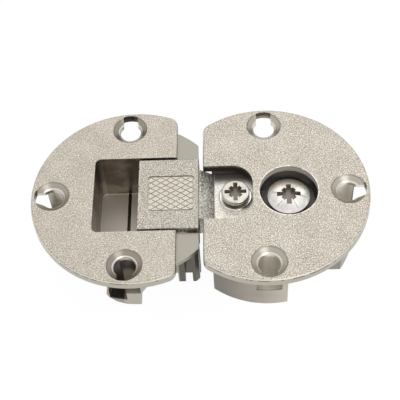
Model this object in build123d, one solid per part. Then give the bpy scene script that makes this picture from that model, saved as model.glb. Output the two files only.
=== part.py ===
from build123d import *
import math
import os

# Concealed folding table hinge for two round bores, lying flat. All sizes are in millimetres.
# X runs across the seam (the fixed leaf is at +X), Y along the fold axis and Z up.
# The origin is on the seam, between the two cups, at the level of their undersides.

# Cups
plate_r = 17.5            # rim of each face plate
plate_t = 1.6             # thickness of each face plate
body_r = 15.3             # cup below the plate
height = 11.6             # face plate down to the underside
centre_x = 11.3           # each cup's centre, from the seam
wall = 1.3                # cup wall
core_half = 8.9           # half width of each cup's straight core
rim_round = 0.35          # soft edge round each face plate
corner_r = 1.8            # where a plate's flat edge meets its rim

# Wood screw holes
hole_pitch_r = 13.9       # hole centre from the cup's centre
hole_r = 1.85             # throat
sink_r = 3.05             # countersink at the face
sink_depth = 0.95
throat_depth = 1.6        # face to the open chamber below the throat
relief_half = 1.3         # half width of the countersink's open outer side
chamber_half = 2.15
chamber_depth = 7.2       # face to the chamber's floor
boss_wall = 0.4           # solid round the countersink
quarter = 90              # degrees

# Leaf at -X: pocket, ledge and ribs
moving_edge = -3.9        # flat edge of the moving plate
ledge_edge = -0.25        # seam face of the moving cup
ledge_drop = 1.0          # ledge below the face
ledge_t = 0.9
window_end = -18.1        # closed end of the window
window_half = 7.5
window_r = 1.0
floor_t = 0.8
floor_groove_x = -13.4    # groove across the pocket's floor
floor_groove_w = 0.6
floor_groove_depth = 0.4
swing_gap = 0.25          # block's corner to the floor as the leaf folds
rib_t = 1.2
rib_inset = 0.1           # first rib behind the seam face
rib_pitch = 2.45
rib_lift = 1.2            # ribs stop above the underside
rib_reach = 11.3          # ribs' ends, from the middle line
end_lift = 3.3            # outer end's underside
lug_hole_x = -1.0         # front and rear holes stand off the cup's centre line
lug_in = 5.0              # screw lugs reach in from the hole
lug_window = (-3.3, -0.3) # open side of the lug, from the hole
lug_window_drop = 2.1     # its floor below the chamber's floor
lug_side = [              # lug from the front: X from the hole, and level
    (-4.0, 10.0), (-2.5, 6.1), (-2.4, 5.1), (-3.6, 4.0), (-3.85, 3.1), (-3.4, 2.2),
    (-2.2, 1.3), (-0.6, 0.8), (2.0, 0.7), (1.8, 3.6), (3.3, 6.2), (5.2, 10.0),
]

# Fold pin
pin_x = -3.1
pin_drop = 3.1            # axis below the face
pin_r = 1.0
pin_fit = 0.04            # running clearance on the radius
pin_press = 0.01          # seat in the cup walls
pin_boss_r = 1.9
pin_boss_len = 1.2        # boss outside the core wall
pin_end_gap = 0.2
shim_t = 0.3
shim_r = 1.95

# Arm
block_left = -10.5
block_right = -0.17
block_half = 7.1
block_t = 5.2
block_round = 0.25
pad_left = -8.9
pad_right = -0.95
pad_half = 3.6
pad_depth = 0.3
pad_r = 0.5
diamond_w = 1.7
diamond_h = 1.1
diamond_groove = 0.14
diamond_depth = 0.14
neck_half = 4.95
neck_drop = 0.45          # top of the neck at the block
tongue_start = 2.4
tongue_drop = 2.0         # tongue's top below the face
tongue_t = 2.9
tongue_end = 9.6
tip_half = 3.0
tip_nose = 0.72           # tip beyond the follower's centre
travel_out = 1.2          # leaf away from the fixed plate
travel_in = 0.4           # leaf towards the fixed plate
seam_gap = 0.3            # arm's underside to the fixed cup at the end of its travel

# Leaf at +X: slot, cam bore and guide
fixed_edge = 0.55         # flat edge of the fixed plate
seam_face = 2.0           # cup's flat face below the plate
lobe_x = 3.1              # side lobes end here, from the cup's centre
slot_end = 9.05
slot_side = 0.25          # slot's side beyond the tongue's channel
slot_r = 3.6
roof_t = 2.0
rail_w = 2.45             # rail on each side of the channel
slide_gap = 0.15          # tongue to each rail
guide_t = 1.2
guide_gap = 0.2           # guide sheet to the cup's wall
guide_end = 20.8
rivet_r = 0.8
rivet_head_r = 1.2
rivet_head_t = 0.5
rivet_grip = 1.8          # rivet's length in the rail
rivet_hole = 2.0
rivet_first = 5.4         # rivets, from the seam
rivet_last = 19.2

# Clamp screw
clamp_x = 6.05
clamp_r = 1.5
clamp_clear = 0.12
clamp_head_r = 2.4
clamp_head_drop = 0.05    # top of the head below the face
washer_r = 2.85
washer_t = 0.55
washer_edge = 0.15
clamp_length = 7.1        # under the washer's top
clamp_star_reach = 1.85
clamp_star_w = 1.3
clamp_star_depth = 1.1
nut_w = 5.0
nut_t = 2.2

# Cam
cam_x = 15.1
bore_r = 4.95
bore_rim = 1.3            # plate's thickness at the bore, over a wider room
cam_room_r = 5.6
cam_flange_r = 4.4
cam_flange_t = 1.5
cam_drop = 2.45           # flange top below the face
cam_head_r = 3.6
cam_band = 0.7            # straight side of the head
cam_dome = 0.8
cam_star_reach = 2.0
cam_star_w = 1.5
cam_star_depth = 1.3
cam_collar_r = 1.1
cam_stem_r = 0.9
cam_fit = 0.04
cam_tail = 1.0            # stem below the guide plate
cam_clearance = 0.1       # flange above the arm's tip
groove_depth = 0.9
groove_fit = 0.06
follower_r = 0.55
follower_rest = 2.5       # follower to the cam's axis at rest
cam_turn = 270            # degrees, from one end of the travel to the other
clip_t = 0.35
clip_r = 1.9
clip_fit = 0.02
clip_groove = 0.15
clip_gap_w = 1.2

top = height
pin_z = top - pin_drop
tongue_top = top - tongue_drop
guide_top = tongue_top - tongue_t
rail_outer = core_half - wall
channel_half = rail_outer - rail_w
tongue_half = channel_half - slide_gap
slot_half = channel_half + slot_side
travel = travel_out + travel_in
cam_rate = travel / math.radians(cam_turn)
cam_bottom = top - cam_drop - cam_flange_t
tip_top = cam_bottom - cam_clearance
follower_x = cam_x - follower_rest


def disc(r, low, high, x=0.0, y=0.0):
    """Upright cylinder between two levels."""
    return Pos(x, y, (low + high) / 2) * Cylinder(r, high - low)


def slab(x0, x1, y0, y1, low, high):
    """Box between three pairs of limits."""
    return Pos((x0 + x1) / 2, (y0 + y1) / 2, (low + high) / 2) * Box(x1 - x0, y1 - y0, high - low)


def cross_rod(r, y0, y1, x, z):
    """Cylinder along Y."""
    return Pos(x, (y0 + y1) / 2, z) * Rot(90, 0, 0) * Cylinder(r, y1 - y0)


def prism(sketch, low, high):
    """Flat outline raised between two levels."""
    return Pos(0, 0, low) * extrude(sketch, high - low)


def area(x0, x1, half):
    """Rectangle that is even about Y = 0."""
    return Pos((x0 + x1) / 2, 0) * Rectangle(x1 - x0, 2 * half)


def save(name, shape):
    """One STEP file to a node."""
    export_step(shape, os.path.join("parts", name + ".step"))


def face_plate(centre, edge):
    """Round plate with one flat edge on the seam side, soft round its face."""
    side = 1 if centre > 0 else -1
    far = centre + side * 2 * plate_r
    outline = Pos(centre, 0) * Circle(plate_r) & area(min(edge, far), max(edge, far), 2 * plate_r)
    corners = [v for v in outline.vertices() if abs(v.X - edge) < 0.01]
    outline = fillet(corners, corner_r)
    plate = prism(outline, top - plate_t, top)
    return fillet(plate.edges().group_by(Axis.Z)[-1], rim_round)


def cup_outline(centre, inset):
    """Part of the cup's circle that lies in its straight core."""
    return Pos(centre, 0) * Circle(body_r - inset) & area(-3 * plate_r, 3 * plate_r, core_half - inset)


def screw_hole(x, y, outward):
    """Countersunk throat over a chamber that is open to the outside, where the slanted screw leaves."""
    cone = Pos(x, y, top - sink_depth / 2) * Cone(hole_r, sink_r, sink_depth)
    throat = disc(hole_r, top - throat_depth - 0.1, top, x, y)
    relief = Box(sink_r, 2 * relief_half, throat_depth + 0.1, align=(Align.MIN, Align.CENTER, Align.MAX))
    relief = Pos(x, y, top) * Rot(0, 0, outward) * relief & disc(sink_r, 0, top, x, y)
    chamber_t = chamber_depth - throat_depth
    chamber = Box(plate_r, 2 * chamber_half, chamber_t, align=(Align.MIN, Align.CENTER, Align.MAX))
    chamber += Pos(0, 0, -chamber_t / 2) * Cylinder(chamber_half, chamber_t)
    return cone + throat + relief + Pos(x, y, top - throat_depth) * Rot(0, 0, outward) * chamber


def star_recess(arm, width, depth, high):
    """Cross recess with short arms between the long ones, tapered at its foot."""
    cut = Pos(0, 0, high - depth / 2) * Cone(width * 0.45, width * 0.8, depth)
    for turn in range(4):
        reach = arm if turn % 2 == 0 else arm * 0.72
        cut += Rot(0, 0, 45 * turn) * Pos(0, 0, high - depth / 2) * Box(2 * reach, width * 0.55, depth)
    return cut


def make_moving_cup():
    """Leaf at -X: face plate, open-ended pocket, screw lugs and the ribbed ledge beside the seam."""
    centre = -centre_x
    cup = prism(cup_outline(centre, 0) & area(-3 * plate_r, ledge_edge, core_half), 0, top - plate_t)
    ledge = Pos(centre, 0) * Circle(body_r) & area(moving_edge - 1, ledge_edge, body_r)
    cup += prism(ledge, top - ledge_drop - ledge_t, top - ledge_drop)
    lug_x = centre + lug_hole_x
    lug_outline = Plane.XZ * make_face(Polyline(*[(lug_x + x, z) for x, z in lug_side], close=True))
    lugs = extrude(lug_outline, body_r, both=True) & disc(body_r, 0, top, centre)
    cup += lugs - slab(-3 * plate_r, 0, lug_in - hole_pitch_r, hole_pitch_r - lug_in, -1, top)
    cup += face_plate(centre, moving_edge)

    rib_round = disc(body_r, rib_lift, top - ledge_drop - ledge_t, centre)
    for i in range(2):
        x = ledge_edge - rib_inset - rib_t - i * rib_pitch
        cup += rib_round & slab(x, x + rib_t, -rib_reach, rib_reach, 0, top)
    for y in (core_half, -core_half - pin_boss_len):
        cup += cross_rod(pin_boss_r, y, y + pin_boss_len, pin_x, pin_z)

    window = Pos((window_end + plate_r) / 2, 0) * RectangleRounded(plate_r - window_end, 2 * window_half, window_r)
    cup -= prism(window, floor_t, top + 1)
    groove_end = floor_groove_x + floor_groove_w
    cup -= slab(floor_groove_x, groove_end, -window_half, window_half, floor_t - floor_groove_depth, floor_t + 1)
    swing = math.hypot(pin_x - block_left, pin_drop) + swing_gap
    reach = math.sqrt(max(0, swing ** 2 - (pin_z - floor_t) ** 2))
    cup -= slab(pin_x - reach, plate_r, -window_half, window_half, -1, floor_t + 1)

    cup -= slab(-3 * plate_r, window_end - wall, -plate_r, plate_r, -1, end_lift)
    hollow_left = centre - hole_pitch_r + sink_r + wall
    if window_end - wall - hollow_left > 1:
        cup -= slab(hollow_left, window_end - wall, -core_half + wall, core_half - wall, -1, top - roof_t)
    for side in (1, -1):
        y = side * hole_pitch_r
        cup -= screw_hole(lug_x, y, quarter * side)
        far, near = y + side * plate_r, y - side * hole_r
        low, high = top - chamber_depth - lug_window_drop, top - throat_depth
        cup -= slab(lug_x + lug_window[0], lug_x + lug_window[1], min(near, far), max(near, far), low, high)
    cup -= screw_hole(centre - hole_pitch_r, 0, 2 * quarter)
    cup -= cross_rod(pin_r + pin_press, -core_half - pin_boss_len - 1, core_half + pin_boss_len + 1, pin_x, pin_z)
    return cup


def make_fixed_cup():
    """Leaf at +X: face plate with the tongue's slot and the cam's bore, over a cup that is open below."""
    centre = centre_x
    lobe = centre + lobe_x
    outer = cup_outline(centre, 0) & area(seam_face, 3 * plate_r, core_half)
    outer += Pos(centre, 0) * Circle(body_r) & area(seam_face, lobe, body_r)
    inner = cup_outline(centre, wall) & area(seam_face + wall, 3 * plate_r, core_half)
    lobes = Pos(centre, 0) * Circle(body_r - wall) & area(seam_face + wall, lobe - wall, body_r)
    lobes -= area(-plate_r, 3 * plate_r, core_half)
    boss = sum((Pos(centre, side * hole_pitch_r) * Circle(sink_r + boss_wall) for side in (1, -1)), Sketch())
    outer_boss = Pos(centre + hole_pitch_r, 0) * Circle(sink_r + boss_wall)
    hollow = (inner - outer_boss) + (lobes - boss)

    cup = prism(outer, 0, top - plate_t)
    cup -= prism(hollow, -1, top - roof_t)
    rails_end = guide_end + guide_gap
    rails = area(seam_face, rails_end, rail_outer) - area(seam_face, rails_end, channel_half)
    cup += prism(rails & outer, guide_top, top - plate_t)
    cup += face_plate(centre, fixed_edge)

    slot = Pos((slot_end - plate_r) / 2, 0) * RectangleRounded(slot_end + plate_r, 2 * slot_half, slot_r)
    cup -= prism(slot, tongue_top, top + 1)
    cup -= prism(area(-plate_r, tongue_end + travel_in + 0.5, channel_half), guide_top, tongue_top + 0.2)
    cup -= disc(bore_r, guide_top, top + 1, cam_x)
    cup -= disc(cam_room_r, guide_top, top - bore_rim, cam_x) & prism(area(0, rails_end, rail_outer), 0, top)
    cup -= prism(area(tongue_end, cam_x, tip_half + slide_gap), guide_top, tip_top + 0.3)
    for side in (1, -1):
        cup -= screw_hole(centre, side * hole_pitch_r, quarter * side)
    cup -= screw_hole(centre + hole_pitch_r, 0, 0)
    for x, y in rivet_places():
        cup -= disc(rivet_r + pin_press, guide_top - 1, guide_top + rivet_hole, x, y)
    return cup


def rivet_places():
    y = rail_outer - guide_gap - rivet_head_r
    return [(x, side * y) for x in (rivet_first, rivet_last) for side in (1, -1)]


def make_arm():
    """Block that fills the moving leaf's window, with its neck, tongue and the follower of the cam."""
    block = slab(block_left, block_right, -block_half, block_half, top - block_t, top)
    block = fillet(block.edges().group_by(Axis.Z)[-1] + block.edges().filter_by(Axis.Z), block_round)
    neck_foot = seam_face - travel_in - seam_gap
    with_neck = Plane.XZ * make_face(Polyline(
        (block_right - 1, top - neck_drop),
        (block_right + 0.3, top - neck_drop),
        (tongue_start, tongue_top),
        (tongue_end, tongue_top),
        (tongue_end, guide_top),
        (neck_foot, guide_top),
        (block_right, top - block_t),
        (block_right - 1, top - block_t),
        close=True,
    ))
    arm = block + extrude(with_neck, neck_half, both=True)
    tongue = slab(tongue_start, tongue_end, -tongue_half, tongue_half, guide_top, tongue_top)
    arm += fillet(tongue.edges().filter_by(Axis.Z), 0.6)
    tip_end = follower_x + tip_nose
    tip = slab(tongue_end - 1, tip_end, -tip_half, tip_half, guide_top, tip_top)
    arm += fillet(tip.edges().filter_by(Axis.Z).group_by(Axis.X)[-1], 0.8)
    arm += disc(follower_r, tip_top - 0.2, cam_bottom + groove_depth - 0.12, follower_x)

    pad = RectangleRounded(pad_right - pad_left, 2 * pad_half, pad_r)
    pad_at = Pos((pad_left + pad_right) / 2, 0, 0)
    arm -= pad_at * prism(pad, top - pad_depth, top + 1)
    arm += pad_at * make_diamonds()

    reach = clamp_r + clamp_clear
    slot_x0 = clamp_x - travel_in - reach
    slot_x1 = clamp_x + travel_out + reach
    slot = Pos((slot_x0 + slot_x1) / 2, 0) * SlotOverall(slot_x1 - slot_x0, 2 * reach)
    arm -= prism(slot, guide_top - 1, tongue_top + 1)
    arm -= cross_rod(pin_r + pin_fit, -block_half - 1, block_half + 1, pin_x, pin_z)
    return arm


def make_diamonds():
    """Field of low diamonds: a raised panel cut by two sets of slanted grooves."""
    width = pad_right - pad_left - 0.5
    half = pad_half - 0.25
    low = top - pad_depth - 0.05
    high = top - 0.08
    field = prism(RectangleRounded(width, 2 * half, pad_r * 0.6), low, high)
    slant = math.degrees(math.atan2(diamond_h, diamond_w))
    count = int(width / diamond_w / 2 + half / diamond_h) + 1
    for side in (1, -1):
        for i in range(-count, count + 1):
            groove = Box(2 * width, diamond_groove, 2 * diamond_depth)
            field -= Pos(i * diamond_w, 0, high) * Rot(0, 0, side * slant) * groove
    return field


def spiral_groove():
    """Outline of the cam's groove, an even spiral widened to the follower's size.

    At angle a its middle stands follower_rest + cam_rate * (a - pi) from the cam's axis.
    """
    first = math.pi - travel_in / cam_rate
    last = math.pi + travel_out / cam_rate
    half = follower_r + groove_fit
    steps = 12

    def side_point(a, offset):
        r = follower_rest + cam_rate * (a - math.pi)
        tilt = math.atan2(cam_rate, r)
        x = r * math.cos(a) + offset * math.cos(a - tilt)
        return x, r * math.sin(a) + offset * math.sin(a - tilt)

    def end_point(a, sign):
        r = follower_rest + cam_rate * (a - math.pi)
        tilt = math.atan2(cam_rate, r)
        heading = a + math.pi / 2 - tilt
        return r * math.cos(a) + sign * half * math.cos(heading), r * math.sin(a) + sign * half * math.sin(heading)

    angles = [first + (last - first) * i / steps for i in range(steps + 1)]
    outer = Spline(*[side_point(a, half) for a in angles])
    inner = Spline(*[side_point(a, -half) for a in angles])
    start = ThreePointArc(side_point(first, -half), end_point(first, -1), side_point(first, half))
    finish = ThreePointArc(side_point(last, half), end_point(last, 1), side_point(last, -half))
    return make_face(outer + finish + inner + start)


def make_cam():
    """Domed cam screw with its flange, spiral groove, collar and grooved stem."""
    flange_top = top - cam_drop
    dome_r = (cam_head_r ** 2 + cam_dome ** 2) / (2 * cam_dome)
    head_top = flange_top + cam_band + cam_dome
    cam = disc(cam_flange_r, cam_bottom, flange_top)
    ball = Pos(0, 0, head_top - dome_r) * Sphere(dome_r)
    cam += disc(cam_head_r, flange_top - 0.1, head_top) & ball
    cam += disc(cam_collar_r, guide_top, cam_bottom + 0.1)
    stem_low = guide_top - guide_t - cam_tail
    cam += disc(cam_stem_r, stem_low, guide_top + 0.1)
    clip_top = guide_top - guide_t - 0.05
    ring = disc(cam_stem_r + 1, clip_top - clip_t - 0.05, clip_top + 0.03)
    cam -= ring - disc(cam_stem_r - clip_groove, 0, top)
    cam -= prism(spiral_groove(), cam_bottom - 1, cam_bottom + groove_depth)
    cam -= star_recess(cam_star_reach, cam_star_w, cam_star_depth, head_top)
    return Pos(cam_x, 0, 0) * cam


def make_clip():
    """Spring clip in the groove of the cam's stem, open on one side."""
    high = guide_top - guide_t - 0.03
    ring = disc(clip_r, high - clip_t, high) - disc(cam_stem_r - clip_groove + clip_fit, 0, top)
    ring -= slab(0, clip_r + 1, -clip_gap_w / 2, clip_gap_w / 2, 0, top)
    return Pos(cam_x, 0, 0) * ring


def make_guide():
    """Sheet that closes the channel from below and carries the clamp nut and the cam's stem."""
    half = rail_outer - guide_gap
    start = seam_face + wall + guide_gap
    sheet = prism(area(start, guide_end, half), guide_top - guide_t, guide_top)
    sheet = fillet(sheet.edges().filter_by(Axis.Z), 0.8)
    sheet -= disc(clamp_r + clamp_clear, 0, top, clamp_x)
    sheet -= disc(cam_stem_r + cam_fit, 0, top, cam_x)
    for x, y in rivet_places():
        sheet -= disc(rivet_r + pin_press, 0, top, x, y)
    return sheet


def make_rivets():
    """Rivets that hold the guide sheet to the rails."""
    low = guide_top - guide_t
    rivets = []
    for x, y in rivet_places():
        head = disc(rivet_head_r, low - rivet_head_t, low, x, y)
        head = chamfer(head.edges().group_by(Axis.Z)[0], rivet_head_t * 0.5)
        rivets.append(head + disc(rivet_r, low - 0.1, guide_top + rivet_grip, x, y))
    return Compound(rivets)


def make_clamp_screw():
    """Clamp screw with a rounded drive head."""
    seat = tongue_top + washer_t
    high = top - clamp_head_drop
    head = disc(clamp_head_r, seat, high)
    head = fillet(head.edges().group_by(Axis.Z)[-1], 0.3)
    screw = head + disc(clamp_r, seat - clamp_length, seat + 0.1)
    screw = chamfer(screw.edges().group_by(Axis.Z)[0], 0.3)
    screw -= star_recess(clamp_star_reach, clamp_star_w, clamp_star_depth, high)
    return Pos(clamp_x, 0, 0) * screw


def make_clamp_washer():
    """Collar washer between the clamp screw's head and the tongue."""
    ring = disc(washer_r, tongue_top, tongue_top + washer_t)
    ring = chamfer(ring.edges().group_by(Axis.Z)[-1], washer_edge)
    return Pos(clamp_x, 0, 0) * (ring - disc(clamp_r + clamp_clear, 0, top))


def make_clamp_nut():
    """Square nut under the guide sheet."""
    high = guide_top - guide_t
    nut = slab(-nut_w / 2, nut_w / 2, -nut_w / 2, nut_w / 2, high - nut_t, high)
    nut = chamfer(nut.edges().group_by(Axis.Z)[0], 0.3)
    return Pos(clamp_x, 0, 0) * (nut - disc(clamp_r + pin_press, 0, top))


def make_pin():
    """Fold pin, seated in both walls of the moving cup."""
    half = core_half + pin_boss_len - pin_end_gap
    pin = cross_rod(pin_r, -half, half, pin_x, pin_z)
    return chamfer(pin.edges().filter_by(GeomType.CIRCLE), 0.2)


def make_shims():
    """Thin washers on the pin, one on each side of the block."""
    gap = window_half - block_half - shim_t
    shims = []
    for y in (block_half + gap / 2, -block_half - gap / 2 - shim_t):
        ring = cross_rod(shim_r, y, y + shim_t, pin_x, pin_z)
        shims.append(ring - cross_rod(pin_r + pin_fit, y - shim_t, y + 2 * shim_t, pin_x, pin_z))
    return Compound(shims)


os.makedirs("parts", exist_ok=True)
save("moving_cup", make_moving_cup())
save("fixed_cup", make_fixed_cup())
save("arm", make_arm())
save("fold_pin", make_pin())
save("pin_shims", make_shims())
save("cam_screw", make_cam())
save("cam_clip", make_clip())
save("guide_sheet", make_guide())
save("guide_rivets", make_rivets())
save("clamp_screw", make_clamp_screw())
save("clamp_washer", make_clamp_washer())
save("clamp_nut", make_clamp_nut())
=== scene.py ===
import math

import bpy
from mathutils import Matrix, Vector


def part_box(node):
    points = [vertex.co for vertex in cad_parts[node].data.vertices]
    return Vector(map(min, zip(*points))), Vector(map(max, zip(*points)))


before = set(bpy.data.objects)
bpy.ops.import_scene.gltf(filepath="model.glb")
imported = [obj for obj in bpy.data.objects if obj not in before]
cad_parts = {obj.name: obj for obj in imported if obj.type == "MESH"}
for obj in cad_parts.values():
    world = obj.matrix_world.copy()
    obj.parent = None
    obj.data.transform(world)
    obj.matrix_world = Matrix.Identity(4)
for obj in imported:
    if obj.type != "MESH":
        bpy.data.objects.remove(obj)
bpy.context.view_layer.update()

# Camera: the photograph's view, found from the outlines of the two plate circles.
# It looks down at about 56 degrees, almost square to the seam, with a small roll.
MM = 0.001                              # sizes and places in capitals are in millimetres
PHOTO_SIDE = 400
FOCAL_PX = 1056.1
CLIP_START = 1.0
PLATE_R = 17.5
CUP_X = 11.3                            # middle of each plate, from the seam
CAMERA_PLACE = (-0.277, -5.821, 8.394)  # in plate radii, from the middle of the right plate's face
azimuth, elevation, roll = (math.radians(angle) for angle in (3.65, 55.63, -4.49))
face_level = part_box("fixed_cup")[1][2]
camera_at = Vector(CAMERA_PLACE) * PLATE_R * MM + Vector((CUP_X * MM, 0, face_level))

back = Vector((
    math.sin(azimuth) * math.cos(elevation),
    -math.cos(azimuth) * math.cos(elevation),
    math.sin(elevation),
))
level_right = (-back).cross(Vector((0, 0, 1))).normalized()
level_up = level_right.cross(-back)
right = math.cos(roll) * level_right + math.sin(roll) * level_up
up = math.cos(roll) * level_up - math.sin(roll) * level_right
camera_data = bpy.data.cameras.new("camera")
camera_data.lens = FOCAL_PX / PHOTO_SIDE * camera_data.sensor_width
camera_data.clip_start = CLIP_START * MM
camera = bpy.data.objects.new("camera", camera_data)
bpy.context.scene.collection.objects.link(camera)
camera.matrix_world = Matrix.Translation(camera_at) @ Matrix((right, up, back)).transposed().to_4x4()
bpy.context.scene.camera = camera


# Blasted casting: nickel over a zinc die casting. Its face is sand-blasted to a sparkling grain,
# while the sides below it keep the smooth skin of the die.
class Wire:
    """A socket in a finish. Sums and products on wires add Math nodes."""

    def __init__(self, finish, socket):
        self.finish = finish
        self.socket = socket

    def __add__(self, other):
        return self.finish.math("ADD", self, other)

    def __sub__(self, other):
        return self.finish.math("SUBTRACT", self, other)

    def __rsub__(self, other):
        return self.finish.math("SUBTRACT", other, self)

    def __mul__(self, other):
        return self.finish.math("MULTIPLY", self, other)

    __radd__ = __add__
    __rmul__ = __mul__


class Finish:
    """A material in the making, with one Principled shader."""

    def __init__(self, name):
        self.material = bpy.data.materials.new(name)
        self.material.use_nodes = True
        self.tree = self.material.node_tree
        self.shader = self.tree.nodes["Principled BSDF"]
        self.place = self.node("ShaderNodeTexCoord", out="Object")

    def node(self, kind, out=0, settings=None, **inputs):
        """Adds a node, sets its settings and then its sockets, and gives one output as a wire."""
        made = self.tree.nodes.new(kind)
        for key, value in (settings or {}).items():
            if key == "stops":
                elements = made.color_ramp.elements
                while len(elements) < len(value):
                    elements.new(0.5)
                for element, (at, colour) in zip(elements, value):
                    element.position = at
                    element.color = colour
            else:
                setattr(made, key, value)
        for key, value in inputs.items():
            self.feed(made, key, value)
        return Wire(self, made.outputs[out])

    def feed(self, node, key, value):
        """Links a wire to a socket, or sets the socket. A key such as in_2 is a place in the list."""
        spot = node.inputs[int(key[3:]) if key.startswith("in_") else key.replace("_", " ")]
        if isinstance(value, Wire):
            self.tree.links.new(value.socket, spot)
        else:
            spot.default_value = value

    def math(self, operation, a, b=0.0):
        return self.node("ShaderNodeMath", settings={"operation": operation}, in_0=a, in_1=b)

    def mix(self, share, a, b):
        """Colour a where share is 0 and b where it is 1."""
        return self.node("ShaderNodeMix", out=2, settings={"data_type": "RGBA"}, in_0=share, in_6=a, in_7=b)

    def ramp(self, value, tones):
        """Colours along a value. Each tone is a value and its colour."""
        return self.node("ShaderNodeValToRGB", settings={"stops": tones}, Fac=value)

    def axes(self, place):
        """The three coordinates of a place, in millimetres."""
        parts = self.node("ShaderNodeSeparateXYZ", Vector=place).socket.node
        return [Wire(self, part) * (1 / MM) for part in parts.outputs]

    def distance(self, across, along):
        """Distance from an upright axis, from the two coordinates off it."""
        return self.math("SQRT", across * across + along * along)

    def grain(self, size, detail=2.0, rough=0.5):
        """Even noise with blobs of about that size."""
        return self.node("ShaderNodeTexNoise", Vector=self.place, Scale=1 / (size * MM), Detail=detail,
                         Roughness=rough)

    def rise(self, value, edge):
        """0 before an edge and 1 after it, with a soft rise between its two ends."""
        start, end = edge
        return self.node("ShaderNodeMapRange", settings={"interpolation_type": "SMOOTHSTEP"},
                         Value=value, From_Min=start, From_Max=end)

    def fall(self, value, edge):
        """1 before an edge and 0 after it, with a soft fall between its two ends."""
        return 1 - self.rise(value, edge)

    def within(self, value, stretch, soft=0.1):
        """1 inside a stretch and 0 outside it, soft over that width at both ends."""
        start, end = stretch
        return self.rise(value, (start, start + soft)) * self.fall(value, (end - soft, end))

    def bump(self, value, depth):
        """Relief of that depth where the value goes from 0 to 1."""
        return self.node("ShaderNodeBump", Height=value, Strength=1.0, Distance=depth * MM)

    def set(self, **inputs):
        """Feeds the shader's sockets."""
        for key, value in inputs.items():
            self.feed(self.shader, key, value)

    def dress(self, *nodes):
        """Puts the finish on CAD nodes."""
        for name in nodes:
            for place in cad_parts[name].material_slots:
                place.material = self.material


def tint(red, green, blue):
    return (red, green, blue, 1.0)


FACE = face_level / MM
GRAIN_SIZE = 0.19
FINE_GRAIN_SIZE = 0.6 * GRAIN_SIZE
GRAIN_DEPTH = 0.03
CLOUD_SIZE = 4
CLOUD_ON_FACE = 0.05
BLAST_EDGE = (-0.12, -0.02)             # heights from the blasted level, as are the next two
HIGHLIGHT_BAND = (-0.22, -0.16)
DASH_BAND = (-0.50, -0.18)
DASH_SIZE = 0.9
DASH_PATCHES = (0.50, 0.56)             # of the noise's value, as with all patches, clouds and breaks in painted highlights
DASH_STRENGTH = 0.8
SIDE_SOFT = 0.1
FACE_TONES = (
    (0.38, tint(0.23, 0.205, 0.165)),
    (0.50, tint(0.47, 0.423, 0.355)),
    (0.62, tint(0.90, 0.87, 0.79)),
)
LIT_SIDE = tint(0.48, 0.44, 0.375)
SKIN_DARK = tint(0.28, 0.25, 0.21)
SKIN_LIGHT = tint(0.42, 0.38, 0.325)
# painted highlight colour, for bright edges and rings
EDGE_HIGHLIGHT = tint(0.80, 0.77, 0.69)
# near black: the dark dashes, and painted shade and shadow elsewhere
NEAR_BLACK = tint(0.07, 0.06, 0.05)
# painted shade colour
DARK_SHADE = tint(0.20, 0.175, 0.145)
NICKEL_SHINE = 0.92
SKIN_ROUGH = 0.30
BLAST_ROUGH = 0.14                      # what blasting adds
SPARKLE_ROUGH = 0.2                     # how much the grain changes it

# Countersunk screw holes, alike in both castings
HOLE_R = 1.85
SINK_R = 3.05
SINK_DEPTH = 0.95
PLATE_T = 1.6
BODY_R = 15.3
SCREW_Y = 13.9
END_SCREW_X = 25.2
PLATE_UNDERSIDE = FACE - PLATE_T
SINK_FLOOR = FACE - SINK_DEPTH
SINK_MOUTH = (FACE - 0.10, FACE - 0.04)
SINK_OUTLINE = (SINK_R + 0.02, SINK_R + 0.06)
SINK_SHADE = (SINK_R - 0.35, SINK_R - 0.10)
THROAT_RING = (HOLE_R + 0.05, HOLE_R + 0.32)
THROAT_TOP = (SINK_FLOOR, SINK_FLOOR + 0.05)
THROAT_END = (PLATE_UNDERSIDE - 0.05, PLATE_UNDERSIDE)
CHAMBER_TOP = (PLATE_UNDERSIDE, PLATE_UNDERSIDE + 0.05)
CHAMBER_REACH = (BODY_R - 0.30, BODY_R - 0.15)


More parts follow.
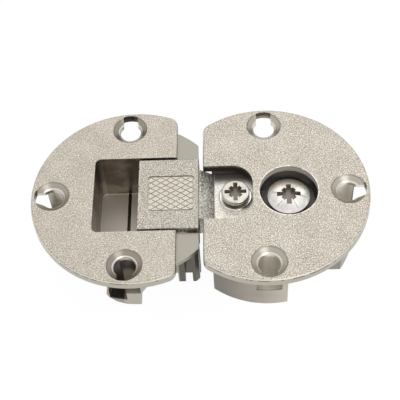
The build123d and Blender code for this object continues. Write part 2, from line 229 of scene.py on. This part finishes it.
class Casting(Finish):
    """Nickel casting: blasted above a level, smooth below it, with a painted highlight under its face's
    edge, its side painted lighter than the skin below, and dark dashes.
    """

    def __init__(self, name, level, side_low, contrast=1.0):
        super().__init__(name)
        self.x, self.y, self.z = self.axes(self.place)
        above = self.z - level
        self.blasted = self.rise(above, BLAST_EDGE)
        # painted highlight: a bright band on the smooth side just under the blasted face
        edge_highlight = self.rise(above, HIGHLIGHT_BAND) * (1 - self.blasted)
        # dark dashes in a band a little below the face's edge
        dark_dashes = self.within(above, DASH_BAND) * self.rise(self.grain(DASH_SIZE), DASH_PATCHES)
        self.speckle = (self.grain(GRAIN_SIZE, rough=0.6) + self.grain(FINE_GRAIN_SIZE, detail=1.0)) * 0.5
        self.cloud = self.grain(CLOUD_SIZE)
        tone = (self.speckle - 0.5) * contrast + 0.5 + (self.cloud - 0.5) * CLOUD_ON_FACE
        face = self.ramp(tone, FACE_TONES)
        skin = self.mix(self.cloud, SKIN_DARK, SKIN_LIGHT)
        # painted light: the side above the plate's underside is lighter than the skin below it
        skin = self.mix(self.rise(self.z, (side_low, side_low + SIDE_SOFT)), skin, LIT_SIDE)
        # painted highlight along the edge under the face
        skin = self.mix(edge_highlight, skin, EDGE_HIGHLIGHT)
        skin = self.mix(dark_dashes * DASH_STRENGTH, skin, NEAR_BLACK)
        self.colour = self.mix(self.blasted, skin, face)
        self.rough = SKIN_ROUGH + self.blasted * BLAST_ROUGH + (self.speckle - 0.5) * SPARKLE_ROUGH
        self.relief = self.speckle * self.blasted
        self.shine = NICKEL_SHINE

    def stain(self, where, colour, strength=1.0, dull=0.0):
        """Colours a place at a strength, for tone and for painted light and shade, and takes some of its
        metal shine away.
        """
        share = where * strength
        self.colour = self.mix(share, self.colour, colour)
        if dull:
            self.shine = self.shine * (1 - share * dull)

    def screw_hole(self, x0, y0, cone, throat, chamber):
        """Finishes the holes at x0 and y0 or -y0: the cone with painted shade inside its rim, a painted
        highlight round the throat, the throat, and what lies below, in painted light and shade given per
        hole.
        """
        radius = self.distance(self.x - x0, self.math("ABSOLUTE", self.y) - y0)
        hole = self.fall(radius, SINK_OUTLINE) * self.fall(self.z, SINK_MOUTH)
        in_plate = hole * self.rise(self.z, THROAT_END)
        self.stain(in_plate, cone)
        # painted shade: a dark band inside the countersink's rim
        self.stain(in_plate * self.rise(radius, SINK_SHADE), DARK_SHADE, strength=0.7)
        # painted highlight: a bright ring round the top of the throat
        self.stain(in_plate * self.within(radius, THROAT_RING), EDGE_HIGHLIGHT)
        self.stain(in_plate * self.fall(self.z, THROAT_TOP), throat)
        from_axis = self.distance(self.x - math.copysign(CUP_X, x0), self.y)
        under_plate = self.fall(from_axis, CHAMBER_REACH) * self.fall(self.z, CHAMBER_TOP)
        # the space under the plate, seen through the hole, painted with the light and shade given as
        # chamber
        self.stain(hole * under_plate, chamber, dull=0.5)

    def close(self, *nodes):
        """Feeds the shader with what was gathered, and puts the finish on CAD nodes."""
        self.set(Base_Color=self.colour, Metallic=self.shine, Roughness=self.rough)
        self.set(Normal=self.bump(self.relief, GRAIN_DEPTH))
        self.dress(*nodes)


# Moving cup: the left casting, with a pocket for the block's end, and a ledge with ribs below it at
# the seam. The pocket's floor is matt and painted pale with light, and its walls are painted with
# shade. The ledge, the ribs and the plate's end at the seam are painted with shade, the ribs darker still.
PLATE_CONTRAST = 0.78
GROOVE_X = (-13.5, -12.7)
GROOVE_Z = (0.2, 0.78)
GROOVE_SHADE = tint(0.03, 0.027, 0.024)
LEDGE_X = (-3.85, 1)
LEDGE_TOP = (10.65, 10.75)
LEDGE_SHADE = tint(0.325, 0.31, 0.265)
RIB_TOP = (9.55, 9.68)
RIB_SHADE = tint(0.11, 0.098, 0.083)
PLATE_END_X = (-4.1, -3.7)
PLATE_END_Z = (10.6, FACE - 0.08)
POCKET_X = (-18.4, -6)
POCKET_Y = (-7.7, 7.7)
POCKET_Z = (0.6, FACE - 0.08)
POCKET_WALL_SHADE = tint(0.20, 0.172, 0.14)
WALL_CLOUDS = (0.45, 0.62)
FLOOR_TOP = (0.88, 0.94)
FLOOR_ROUGH = 0.25                      # what the matt floor adds
POCKET_LIGHT = tint(0.72, 0.66, 0.58)
CORNER_HIGHLIGHT_Z = (0.80, 1.0)
CORNER_HIGHLIGHT = tint(1.0, 0.95, 0.86)
LUG_SCREW_X = -12.3
LUG_CONE = tint(0.33, 0.295, 0.25)
LUG_THROAT = tint(0.52, 0.47, 0.40)
LUG_X = (-13.2, -8)
LUG_Y = (9, 9.5)
LUG_LOW_Z = (5.5, 7.5)
LUG_LOW_LIGHT = tint(0.56, 0.51, 0.44)
LEFT_END_CONE = tint(0.40, 0.365, 0.31)
LEFT_END_THROAT = tint(0.62, 0.57, 0.50)

moving = Casting("moving_casting", FACE, PLATE_UNDERSIDE, PLATE_CONTRAST)
groove = moving.within(moving.x, GROOVE_X) * moving.within(moving.z, GROOVE_Z)
# painted shade in the floor groove
moving.stain(groove, GROOVE_SHADE)
ledge = moving.within(moving.x, LEDGE_X) * moving.fall(moving.z, LEDGE_TOP)
# painted shade on the ledge and, darker, on its ribs, in the plate's shadow
moving.stain(ledge, LEDGE_SHADE)
moving.stain(ledge * moving.fall(moving.z, RIB_TOP), RIB_SHADE)
plate_end = moving.within(moving.x, PLATE_END_X) * moving.within(moving.z, PLATE_END_Z)
# painted shade on the plate's end face at the seam
moving.stain(plate_end, DARK_SHADE, dull=0.5)
pocket = moving.within(moving.x, POCKET_X) * moving.within(moving.y, POCKET_Y)
pocket = pocket * moving.within(moving.z, POCKET_Z)
pocket_wall = pocket * moving.rise(moving.z, FLOOR_TOP)
moving.rough = moving.rough + pocket * moving.fall(moving.z, FLOOR_TOP) * FLOOR_ROUGH
# painted light on the pocket's floor and painted shade on its walls, lightened in clouds, with a painted
# highlight at the corner between them
moving.stain(pocket * (1 - groove), POCKET_LIGHT)
moving.stain(pocket_wall, POCKET_WALL_SHADE)
moving.stain(pocket_wall * moving.rise(moving.cloud, WALL_CLOUDS), POCKET_LIGHT, strength=0.35)
moving.stain(pocket * moving.within(moving.z, CORNER_HIGHLIGHT_Z, soft=0.03), CORNER_HIGHLIGHT)
# each hole's cone, throat and chamber colours are its own painted light and shade; the lug's chamber is
# painted near black with shade
moving.screw_hole(LUG_SCREW_X, SCREW_Y, LUG_CONE, LUG_THROAT, NEAR_BLACK)
moving.screw_hole(-END_SCREW_X, 0, LEFT_END_CONE, LEFT_END_THROAT, LEFT_END_THROAT)
# painted light inside the lugs' lower part, seen through their windows
lugs = moving.rise(moving.math("ABSOLUTE", moving.y), LUG_Y) * moving.within(moving.x, LUG_X)
moving.stain(lugs * moving.fall(moving.z, LUG_LOW_Z), LUG_LOW_LIGHT, strength=0.8, dull=0.3)
moving.close("moving_cup")

# Fixed cup: the right casting, of the same metal. The walls of the narrow slot and of the cam's bore
# are dull and painted dark brown with shade, below a band of painted light at the bore's top. Painted
# highlights, broken in patches, run round the bore's rim and along the edge at the seam.
CHANNEL_Y = (-6.2, 6.2)
SLOT_END = 9.8
SLOT_X = (-1, SLOT_END)
SLOT_TOP = (FACE - 0.6, FACE - 0.3)
SLOT_SHADE = tint(0.05, 0.043, 0.036)
BORE_X = (SLOT_END, 20.8)
BORE_RIM_TOP = (FACE - 0.2, FACE - 0.1)
BORE_TOP = (FACE - 1.4, FACE - 1.2)
BORE_RIM_LIGHT = tint(0.95, 0.92, 0.85)
CAM_X = 15.1
HIGHLIGHT_RING = (4.8, 5.14)
HIGHLIGHT_TOP = (FACE - 0.15, FACE - 0.05)
HIGHLIGHT_BREAK_SIZE = 0.8
HIGHLIGHT_BREAKS = (0.40, 0.50)
SEAM_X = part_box("fixed_cup")[0][0] / MM
SEAM_EDGE = (SEAM_X + 0.10, SEAM_X + 0.26)
SKIRT_TOP = (PLATE_UNDERSIDE, PLATE_UNDERSIDE + 0.1)
SKIRT_NEAR_X = (1.5, 9)
SKIRT_MIDDLE_X = (8, 15)
SKIRT_FAR_X = (18, 22)
SKIRT_PAINTED_LIGHT = tint(0.66, 0.61, 0.53)
SIDE_CONE = tint(0.46, 0.42, 0.36)
SIDE_THROAT = tint(0.85, 0.82, 0.75)
SIDE_CHAMBER = tint(0.72, 0.68, 0.60)
RIGHT_END_CONE = tint(0.48, 0.44, 0.38)
RIGHT_END_THROAT = tint(0.80, 0.76, 0.68)

fixed = Casting("fixed_casting", FACE, PLATE_UNDERSIDE)
channel = fixed.within(fixed.y, CHANNEL_Y)
slot = channel * fixed.within(fixed.x, SLOT_X)
bore = channel * fixed.within(fixed.x, BORE_X)
# painted shade in the slot and the bore, under a band of painted light at the bore's top
fixed.stain(slot * fixed.fall(fixed.z, SLOT_TOP), SLOT_SHADE, dull=0.9)
fixed.stain(bore * fixed.fall(fixed.z, BORE_RIM_TOP), BORE_RIM_LIGHT, dull=0.8)
fixed.stain(bore * fixed.fall(fixed.z, BORE_TOP), SLOT_SHADE, dull=0.6)
# painted highlights, broken in patches, round the bore's rim and along the seam edge
broken_highlight = fixed.rise(fixed.z, HIGHLIGHT_TOP) * fixed.rise(fixed.grain(HIGHLIGHT_BREAK_SIZE), HIGHLIGHT_BREAKS)
bore_ring = fixed.within(fixed.distance(fixed.x - CAM_X, fixed.y), HIGHLIGHT_RING, soft=0.06)
fixed.stain(broken_highlight * bore_ring, BORE_RIM_LIGHT, strength=0.8)
fixed.stain(broken_highlight * fixed.fall(fixed.x, SEAM_EDGE), BORE_RIM_LIGHT, strength=0.8)
skirt = fixed.fall(fixed.z, SKIRT_TOP)
# painted shade by the seam, painted light in the middle and painted shade at the far end of the skirt
fixed.stain(skirt * fixed.fall(fixed.x, SKIRT_NEAR_X), DARK_SHADE, strength=0.9, dull=0.6)
fixed.stain(skirt * fixed.rise(fixed.x, SKIRT_MIDDLE_X), SKIRT_PAINTED_LIGHT, strength=0.6)
fixed.stain(skirt * fixed.rise(fixed.x, SKIRT_FAR_X), SKIN_DARK, strength=0.8, dull=0.4)
# each hole's cone, throat and chamber colours are its own painted light and shade
fixed.screw_hole(CUP_X, SCREW_Y, SIDE_CONE, SIDE_THROAT, SIDE_CHAMBER)
fixed.screw_hole(END_SCREW_X, 0, RIGHT_END_CONE, RIGHT_END_THROAT, RIGHT_END_THROAT)
fixed.close("fixed_cup")

# Arm: one casting, of the same metal. The block's top, its diamond pad and the tongue are blasted,
# and the steep neck between them is coarser and darker, with painted shade towards its rear and foot.
# The tongue is painted lighter, with a painted shadow along its rear, and the block's end has a
# painted highlight.
BLOCK_X = (-0.5, 0)
BLOCK_TONES = (
    (0.38, tint(0.17, 0.15, 0.12)),
    (0.50, tint(0.41, 0.375, 0.32)),
    (0.62, tint(0.86, 0.82, 0.74)),
)
BLOCK_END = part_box("arm")[0][0] / MM
END_EDGE_X = (BLOCK_END + 0.12, BLOCK_END + 0.3)
END_EDGE_Z = (FACE - 0.4, FACE - 0.25)
END_PATCH_SIZE = 0.5
END_PATCHES = (0.42, 0.5)
PAD_X = (-8.95, -0.9)
PAD_Y = (-3.65, 3.65)
PAD_Z = (FACE - 0.22, FACE - 0.12)
PAD_FACE = tint(0.66, 0.62, 0.545)
TONGUE_DROP = 2.0
TONGUE_X = (2.4, 2.6)
TONGUE_SHADOW_Y = (2.4, 4.3)
TONGUE_LIT_TONES = ((0.40, tint(0.48, 0.445, 0.385)), (0.60, tint(1.0, 0.97, 0.89)))
NECK_X = (-0.16, 2.5)
NECK_FOOT_X = (1.2, 2.4)
NECK_REAR_Y = (-1, 4.5)
NECK_GRAIN_SIZE = 0.3
NECK_RELIEF = 3.0
NECK_FOOT_SHADE = 0.06
NECK_REAR_SHADE = 0.12
NECK_TONES = ((0.34, tint(0.17, 0.157, 0.138)), (0.58, tint(0.80, 0.77, 0.71)))

arm = Casting("arm_casting", FACE - TONGUE_DROP, FACE - 2 * TONGUE_DROP)
pad = arm.within(arm.x, PAD_X, soft=0.05) * arm.within(arm.y, PAD_Y, soft=0.05)
block_top = arm.fall(arm.x, BLOCK_X) * arm.blasted * (1 - pad)
arm.stain(block_top, arm.ramp(arm.speckle, BLOCK_TONES))
tongue = arm.rise(arm.x, TONGUE_X)
# painted light: the tongue is lighter than the blasted face it shares
arm.stain(tongue, arm.ramp(arm.speckle, TONGUE_LIT_TONES))
# painted shadow along the tongue's rear, under the slot's wall
arm.stain(tongue * arm.rise(arm.y, TONGUE_SHADOW_Y), NEAR_BLACK, strength=0.95, dull=0.8)
# painted highlight, broken in patches, along the block's end
end_highlight = arm.fall(arm.x, END_EDGE_X) * arm.rise(arm.grain(END_PATCH_SIZE), END_PATCHES)
arm.stain(end_highlight * arm.rise(arm.z, END_EDGE_Z), EDGE_HIGHLIGHT)
arm.stain(pad * arm.rise(arm.z, PAD_Z), PAD_FACE, strength=0.6)
neck = arm.within(arm.x, NECK_X)
coarse = arm.grain(NECK_GRAIN_SIZE, detail=3.0, rough=0.7)
# painted shade towards the neck's rear and its foot
rear_shade = arm.rise(arm.y, NECK_REAR_Y) * NECK_REAR_SHADE
foot_shade = arm.rise(arm.x, NECK_FOOT_X) * NECK_FOOT_SHADE
arm.stain(neck, arm.ramp(coarse - rear_shade - foot_shade, NECK_TONES))
arm.relief = arm.relief * (1 - neck) + coarse * neck * NECK_RELIEF
arm.close("arm")


# Bright screws: the clamp screw, its collar washer and the cam screw are turned and nickel-plated,
# almost a mirror, with fine turning rings. The drive recesses are pressed and dull, and painted with
# shade, as is each screw below its shoulder. A painted reflection darkens the rear of each head, and
# four dark lines cross the cam screw's rim.
DARK_BROWN = tint(0.38, 0.335, 0.28)
RECESS_SIDE = 0.97                      # share of its radius where the soft edge starts
RECESS_TOP = 0.7                        # share of its depth where the soft edge ends
RECESS_DULL = 0.7
RECESS_ROUGH = 0.25
UNDER_HEAD_SHADE = tint(0.05, 0.046, 0.04)
SHOULDER_SOFT = 0.05
RING_SCALE = 2600.0                     # a turning ring about every 0.12 mm
RING_DEPTH = 0.004
HAZE_SIZE = 1.6
HAZE_CLOUDS = (0.3, 0.7)
HAZE_DARKER = 0.5                       # share that a full cloud takes off the colour
HAZE_ROUGH = 0.08
REAR_REFLECTION_Y = (0.4, 2.6)
REAR_REFLECTION_STRENGTH = 1.3
MARK_SIDE = (0.03, 0.09)
MARK_START = (1.7, 1.9)
MARK_END = (2.7, 3.3)
CAM_MARKS = (-13, -62, -132, 172)       # degrees round from +X


def bright(name, node, colour, rough, recess_r, recess_drop, shoulder, cloud=0.2, marks=()):
    """Polished finish round a screw's axis, with painted shade in its dull recess and below its shoulder,
    some clouds, and a painted reflection darkening its rear.
    """
    low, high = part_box(node)
    top = high[2] / MM
    finish = Finish(name)
    to_axis = (-(low[0] + high[0]) / 2, 0, 0)
    centred = finish.node("ShaderNodeMapping", Vector=finish.place, Location=to_axis)
    x, y, z = finish.axes(centred)
    radius = finish.distance(x, y)
    recess = finish.fall(radius, (recess_r * RECESS_SIDE, recess_r))
    recess = recess * finish.fall(z, (top - recess_drop, top - recess_drop * RECESS_TOP))
    under_head_shade = finish.fall(z, (top - shoulder - SHOULDER_SOFT, top - shoulder + SHOULDER_SOFT))
    rings = finish.node("ShaderNodeTexWave", settings={"wave_type": "RINGS", "rings_direction": "Z"},
                        Vector=centred, Scale=RING_SCALE, Distortion=0.4, Detail=1.0)
    haze = finish.grain(HAZE_SIZE)
    hazy = tint(*(part * (1 - HAZE_DARKER * cloud) for part in colour[:3]))
    shade = finish.mix(finish.rise(haze, HAZE_CLOUDS), colour, hazy)
    # painted reflection: darker towards the rear
    shade = finish.mix(finish.rise(y, REAR_REFLECTION_Y) * cloud * REAR_REFLECTION_STRENGTH, shade, DARK_BROWN)
    # painted shade below the shoulder
    shade = finish.mix(under_head_shade, shade, UNDER_HEAD_SHADE)
    # painted shade in the recess
    shade = finish.mix(recess, shade, DARK_BROWN)
    # dark lines across the rim
    for turn in marks:
        angle = math.radians(turn)
        aside = finish.math("ABSOLUTE", x * math.sin(angle) - y * math.cos(angle))
        along = finish.rise(radius, MARK_START) * finish.fall(radius, MARK_END)
        shade = finish.mix(finish.fall(aside, MARK_SIDE) * along, shade, DARK_BROWN)
    finish.set(Base_Color=shade, Metallic=1 - recess * RECESS_DULL)
    finish.set(Roughness=rough + haze * HAZE_ROUGH + recess * RECESS_ROUGH)
    finish.set(Normal=finish.bump(rings, RING_DEPTH))
    finish.dress(node)


bright("bright_clamp", "clamp_screw", tint(0.60, 0.57, 0.51), rough=0.14, recess_r=2.0, recess_drop=0.2,
       shoulder=0.8, cloud=0.4)
bright("bright_washer", "clamp_washer", tint(0.74, 0.72, 0.67), rough=0.06, recess_r=0.1, recess_drop=0.1,
       shoulder=5)
bright("bright_cam", "cam_screw", tint(0.84, 0.82, 0.77), rough=0.09, recess_r=2.15, recess_drop=0.42,
       shoulder=1.35, cloud=0.5, marks=CAM_MARKS)

# Plain steel: the pin, the cam's clip, the guide sheet with its rivets, and the clamp's nut are
# zinc-plated, with a soft grey sheen.
ZINC_DARK = tint(0.42, 0.42, 0.41)
ZINC_LIGHT = tint(0.56, 0.55, 0.53)
ZINC_ROUGH = 0.28
STREAK_SIZE = 0.7
STREAK_DEPTH = 0.01
STREAK_ROUGH = 0.15

plain = Finish("zinc_plated_steel")
streak = plain.grain(STREAK_SIZE, detail=3.0)
plain.set(Base_Color=plain.mix(streak, ZINC_DARK, ZINC_LIGHT), Metallic=1.0)
plain.set(Roughness=ZINC_ROUGH + streak * STREAK_ROUGH)
plain.set(Normal=plain.bump(streak, STREAK_DEPTH))
plain.dress("fold_pin", "cam_clip", "guide_sheet", "guide_rivets", "clamp_nut")

# Shims: thin washers of natural nylon, one on each side of the block on its pin. They are seen
# only edge on.
NYLON_DARK = tint(0.72, 0.70, 0.64)
NYLON_LIGHT = tint(0.80, 0.78, 0.72)
NYLON_CLOUD_SIZE = 1
NYLON_ROUGH = 0.5

nylon = Finish("natural_nylon")
cloudy = nylon.grain(NYLON_CLOUD_SIZE)
nylon.set(Base_Color=nylon.mix(cloudy, NYLON_DARK, NYLON_LIGHT), Roughness=NYLON_ROUGH)
nylon.dress("pin_shims")

# Table and light: a white table under two soft lamps and a pale sky. Rays from the camera and from
# the metal see it almost white, and the rest of its shading keeps the hinge's shadow.
WHITE = tint(1, 1, 1)
TABLE = tint(0.9, 0.9, 0.9)
TABLE_SIDE = 3000
TABLE_LEVEL = -0.2
TABLE_ROUGH = 0.8
TABLE_GLOW = 1.12
SHADOW_SHARE = 0.15
SKY_LIGHT = 0.30
SKY_SEEN = 1.0


def seen_directly(tree):
    """1 for rays from the camera, a reflection or a transmission, 0 for the rest."""
    path = tree.nodes.new("ShaderNodeLightPath")
    last = path.outputs["Is Camera Ray"]
    for name in ("Is Glossy Ray", "Is Transmission Ray"):
        joined = tree.nodes.new("ShaderNodeMath")
        joined.operation = "MAXIMUM"
        tree.links.new(last, joined.inputs[0])
        tree.links.new(path.outputs[name], joined.inputs[1])
        last = joined.outputs[0]
    return last


floor_mesh = bpy.data.meshes.new("floor")
half = TABLE_SIDE / 2 * MM
corners = [(-half, -half, 0), (half, -half, 0), (half, half, 0), (-half, half, 0)]
floor_mesh.from_pydata(corners, [], [(0, 1, 2, 3)])
floor = bpy.data.objects.new("floor", floor_mesh)
floor.location.z = TABLE_LEVEL * MM
bpy.context.scene.collection.objects.link(floor)
paper = Finish("white_table")
paper.set(Base_Color=TABLE, Roughness=TABLE_ROUGH)
glow = paper.node("ShaderNodeEmission", Color=WHITE, Strength=TABLE_GLOW)
share = Wire(paper, seen_directly(paper.tree)) * (1 - SHADOW_SHARE)
mixed = paper.node("ShaderNodeMixShader", Fac=share, in_1=Wire(paper, paper.shader.outputs[0]), in_2=glow)
paper.tree.links.new(mixed.socket, paper.tree.nodes["Material Output"].inputs["Surface"])
floor_mesh.materials.append(paper.material)

world = bpy.data.worlds.new("studio")
world.use_nodes = True
bpy.context.scene.world = world
sky = world.node_tree
plain_sky = sky.nodes["Background"]
white_sky = sky.nodes.new("ShaderNodeBackground")
for part, strength in ((plain_sky, SKY_LIGHT), (white_sky, SKY_SEEN)):
    part.inputs["Color"].default_value = WHITE
    part.inputs["Strength"].default_value = strength
sky_mix = sky.nodes.new("ShaderNodeMixShader")
sky.links.new(seen_directly(sky), sky_mix.inputs[0])
sky.links.new(plain_sky.outputs[0], sky_mix.inputs[1])
sky.links.new(white_sky.outputs[0], sky_mix.inputs[2])
sky.links.new(sky_mix.outputs[0], sky.nodes["World Output"].inputs["Surface"])


def lamp(name, at, side, watts):
    """Square soft box that points at the frame's origin."""
    data = bpy.data.lights.new(name, "AREA")
    data.shape = "SQUARE"
    data.size = side * MM
    data.energy = watts
    made = bpy.data.objects.new(name, data)
    bpy.context.scene.collection.objects.link(made)
    made.location = Vector(at) * MM
    made.rotation_mode = "QUATERNION"
    made.rotation_quaternion = (-Vector(at)).to_track_quat("-Z", "Y")


lamp("key", at=(60, 290, 450), side=420, watts=0.31)
lamp("fill", at=(220, -320, 360), side=300, watts=0.36)

bpy.context.scene.view_settings.view_transform = "Standard"
